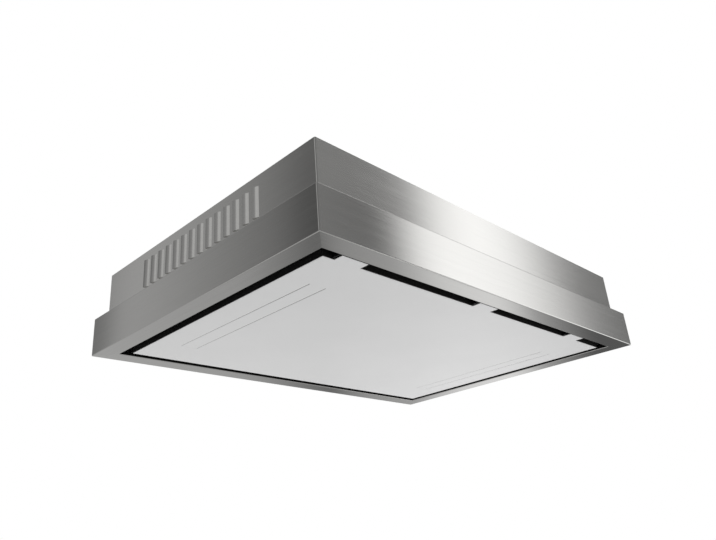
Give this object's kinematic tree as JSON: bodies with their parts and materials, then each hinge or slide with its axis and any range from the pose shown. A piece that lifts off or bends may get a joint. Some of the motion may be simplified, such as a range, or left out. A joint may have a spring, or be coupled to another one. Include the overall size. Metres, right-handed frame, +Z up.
{
  "type": "ceiling range hood",
  "caption": "Low ceiling range hood in brushed steel with a wider rim, a hinged white suction panel with an air slot all round it, and louvres in one short side.",
  "frame": {"origin": "centre of the top plate's upper face, which lies against the ceiling, at the middle of the four bolt holes", "axes": "+X along the long side, away from the louvred short side; +Y along the short side, away from the panel's hinge; +Z up into the ceiling"},
  "size_m": [1, 0.7, 0.177],
  "materials": {
    "stainless": "brushed stainless sheet, grain along each side",
    "panel_white": "white powder coat, satin",
    "galvanised": "galvanised sheet, dull spangle",
    "zinc_plated": "bright zinc plate",
    "filter_aluminium": "plain aluminium, satin",
    "latch_grey": "dark grey moulded plastic",
    "magnet_dark": "dark sintered ferrite",
    "opal": "opal diffuser, satin",
    "led_board": "white lacquered light strip",
    "impeller_dark": "glass-filled black plastic",
    "rotor_casting": "die-cast, bead blasted",
    "stator_iron": "stacked iron sheets, varnished",
    "rubber_black": "black rubber",
    "carbon": "packed carbon granules",
    "box_plastic": "light grey moulded plastic",
    "board_green": "green circuit board",
    "capacitor_white": "off-white moulded plastic",
    "gland_black": "black nylon"
  },
  "bodies": {
    "root": {"blower_base_plate": "galvanised", "blower_isolators": "rubber_black", "blower_scroll": "galvanised", "blower_top_plate": "galvanised", "cable_gland": "gland_black", "canopy_front": "stainless", "canopy_left": "stainless", "canopy_rear": "stainless", "canopy_right": "stainless", "carbon_filter_frame": "filter_aluminium", "carbon_media": "carbon", "casing_front": "stainless", "casing_louvred_side": "stainless", "casing_plain_side": "stainless", "casing_rear": "stainless", "catch_brackets": "galvanised", "catch_magnets": "magnet_dark", "control_board": "board_green", "control_box": "box_plastic", "control_lid": "box_plastic", "corner_gussets": "galvanised", "filter_frame_left": "filter_aluminium", "filter_frame_right": "filter_aluminium", "filter_mesh_left": "filter_aluminium", "filter_mesh_right": "filter_aluminium", "filter_plate": "galvanised", "frame_rivets": "zinc_plated", "hinge_brackets": "zinc_plated", "hinge_pins": "zinc_plated", "inlet_ring": "galvanised", "lead_clips": "zinc_plated", "led_driver": "box_plastic", "motor_bearings": "zinc_plated", "motor_connector": "capacitor_white", "motor_lead": "rubber_black", "motor_screws": "zinc_plated", "motor_stator": "stator_iron", "mounting_rails": "galvanised", "outlet_duct": "galvanised", "outlet_gasket": "rubber_black", "run_capacitor": "capacitor_white", "terminal_block": "capacitor_white", "top_plate": "galvanised", "top_plate_screws": "zinc_plated"},
    "panel": {"suction_panel": "panel_white", "panel_stiffeners": "galvanised", "hinge_knuckles": "zinc_plated", "strike_plates": "zinc_plated", "led_diffusers": "opal", "led_housings": "filter_aluminium", "led_strips": "led_board"},
    "impeller": {"impeller": "impeller_dark", "rotor_can": "rotor_casting", "motor_shaft": "zinc_plated"},
    "latch_left": {"filter_latch_left": "latch_grey"},
    "latch_right": {"filter_latch_right": "latch_grey"}
  },
  "joints": [
    {"name": "panel_hinge", "type": "hinge", "parent": "root", "child": "panel", "pos_m": [0, -0.297, -0.172], "axis": [-1, 0, 0], "range_deg": [0, 88]},
    {"name": "impeller_spin", "type": "hinge", "parent": "root", "child": "impeller", "pos_m": [0.07, -0.11, -0.03], "axis": [0, 0, 1], "continuous": true},
    {"name": "latch_left_slide", "type": "slide", "parent": "root", "child": "latch_left", "axis": [-1, 0, 0], "range_m": [0, 0.007], "stiffness_N_per_m": 300, "springref_m": -0.004},
    {"name": "latch_right_slide", "type": "slide", "parent": "root", "child": "latch_right", "axis": [1, 0, 0], "range_m": [0, 0.007], "stiffness_N_per_m": 300, "springref_m": -0.004}
  ]
}
